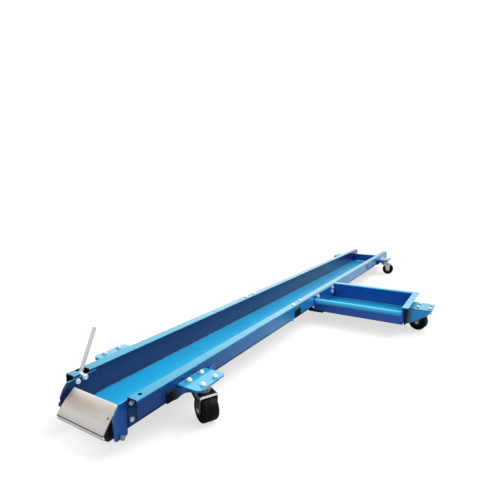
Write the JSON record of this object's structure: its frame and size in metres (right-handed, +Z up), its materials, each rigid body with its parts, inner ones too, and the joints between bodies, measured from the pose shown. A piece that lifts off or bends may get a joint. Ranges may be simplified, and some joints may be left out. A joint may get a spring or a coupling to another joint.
{
  "type": "motorcycle mover dolly",
  "caption": "Low wheeled track for moving a parked motorcycle: a channel on swivel casters with a side stand tray, a drop-down rear ramp and its release lever.",
  "frame": {"origin": "on the ground under the middle of the model's box", "axes": "+X along the track towards the front stop, +Y to the left, +Z up"},
  "size_m": [2.457, 0.7661, 0.2134],
  "materials": {
    "blue_paint": "gloss blue paint",
    "black_paint": "semi-gloss black paint",
    "bare_steel": "brushed",
    "bright_steel": "satin rod",
    "zinc_steel": "bright zinc plate",
    "black_plastic": "moulded",
    "black_tyre": "satin rubber"
  },
  "bodies": {
    "chassis": {"rear_track": "blue_paint", "front_track": "blue_paint", "kickstand_tray": "blue_paint", "front_wheel_stop": "blue_paint", "tray_hooks": "black_paint", "cheek_plate_left": "blue_paint", "cheek_plate_right": "blue_paint", "splice_tube_left": "zinc_steel", "splice_tube_right": "zinc_steel", "splice_strap_left": "black_paint", "splice_strap_right": "black_paint", "caster_kingpins": "zinc_steel", "swivel_bearing_rings": "black_plastic", "caster_bolts": "zinc_steel", "caster_nuts": "zinc_steel", "tray_bolts": "zinc_steel", "cheek_bolts": "zinc_steel", "front_stop_bolts": "zinc_steel", "splice_bolts": "zinc_steel", "ramp_guide_bolts": "zinc_steel", "lever_pivot_bolt": "zinc_steel", "caster_bracket_rear_right": "blue_paint", "caster_plate_rear_right": "zinc_steel", "caster_bracket_rear_left": "blue_paint", "caster_plate_rear_left": "zinc_steel", "caster_bracket_front_right": "blue_paint", "caster_plate_front_right": "zinc_steel", "caster_bracket_front_left": "blue_paint", "caster_plate_front_left": "zinc_steel", "caster_bracket_tray": "blue_paint", "caster_plate_tray": "zinc_steel"},
    "fork_rear_right": {"caster_fork_rear_right": "zinc_steel", "caster_axle_rear_right": "zinc_steel"},
    "wheel_rear_right": {"caster_hub_rear_right": "black_plastic", "caster_tyre_rear_right": "black_tyre"},
    "fork_rear_left": {"caster_fork_rear_left": "zinc_steel", "caster_axle_rear_left": "zinc_steel"},
    "wheel_rear_left": {"caster_hub_rear_left": "black_plastic", "caster_tyre_rear_left": "black_tyre"},
    "fork_front_right": {"caster_fork_front_right": "zinc_steel", "caster_axle_front_right": "zinc_steel"},
    "wheel_front_right": {"caster_hub_front_right": "black_plastic", "caster_tyre_front_right": "black_tyre"},
    "fork_front_left": {"caster_fork_front_left": "zinc_steel", "caster_axle_front_left": "zinc_steel"},
    "wheel_front_left": {"caster_hub_front_left": "black_plastic", "caster_tyre_front_left": "black_tyre"},
    "fork_tray": {"caster_fork_tray": "zinc_steel", "caster_axle_tray": "zinc_steel"},
    "wheel_tray": {"caster_hub_tray": "black_plastic", "caster_tyre_tray": "black_tyre"},
    "lever": {"release_lever": "bright_steel"},
    "ramp": {"ramp_flap": "bare_steel", "ramp_end_block_left": "black_plastic", "ramp_end_block_right": "black_plastic", "ramp_lift_stud": "zinc_steel"}
  },
  "joints": [
    {"name": "swivel_rear_right", "type": "hinge", "parent": "chassis", "child": "fork_rear_right", "pos_m": [-0.9895, 0.02644, 0.081], "axis": [0, 0, 1], "continuous": true},
    {"name": "roll_rear_right", "type": "hinge", "parent": "fork_rear_right", "child": "wheel_rear_right", "pos_m": [-0.9994, 0.00679, 0.0325], "axis": [-0.893, 0.45, 0], "continuous": true},
    {"name": "swivel_rear_left", "type": "hinge", "parent": "chassis", "child": "fork_rear_left", "pos_m": [-0.9895, 0.33044, 0.081], "axis": [0, 0, 1], "continuous": true},
    {"name": "roll_rear_left", "type": "hinge", "parent": "fork_rear_left", "child": "wheel_rear_left", "pos_m": [-1.00319, 0.34766, 0.0325], "axis": [0.7828, 0.6222, 0], "continuous": true},
    {"name": "swivel_front_right", "type": "hinge", "parent": "chassis", "child": "fork_front_right", "pos_m": [1.0155, 0.02644, 0.081], "axis": [0, 0, 1], "continuous": true},
    {"name": "roll_front_right", "type": "hinge", "parent": "fork_front_right", "child": "wheel_front_right", "pos_m": [1.0177, 0.00455, 0.0325], "axis": [-0.995, -0.1, 0], "continuous": true},
    {"name": "swivel_front_left", "type": "hinge", "parent": "chassis", "child": "fork_front_left", "pos_m": [1.0155, 0.33044, 0.081], "axis": [0, 0, 1], "continuous": true},
    {"name": "roll_front_left", "type": "hinge", "parent": "fork_front_left", "child": "wheel_front_left", "pos_m": [0.99658, 0.34166, 0.0325], "axis": [0.5101, 0.8601, 0], "continuous": true},
    {"name": "swivel_tray", "type": "hinge", "parent": "chassis", "child": "fork_tray", "pos_m": [-0.0385, -0.35156, 0.081], "axis": [0, 0, 1], "continuous": true},
    {"name": "roll_tray", "type": "hinge", "parent": "fork_tray", "child": "wheel_tray", "pos_m": [-0.0341, -0.33, 0.0325], "axis": [0.9798, -0.2, 0], "continuous": true},
    {"name": "ramp_drop", "type": "slide", "parent": "chassis", "child": "ramp", "axis": [0, 0, 1], "range_m": [-0.031, 0]},
    {"name": "lever_swing", "type": "hinge", "parent": "chassis", "child": "lever", "pos_m": [-1.1435, 0.28474, 0.104], "axis": [0, 1, 0], "range_deg": [-18.67, 0]}
  ],
  "couplings": [
    {"joint": "lever_swing", "follows": "ramp_drop", "rad_per_m": 10.484}
  ]
}
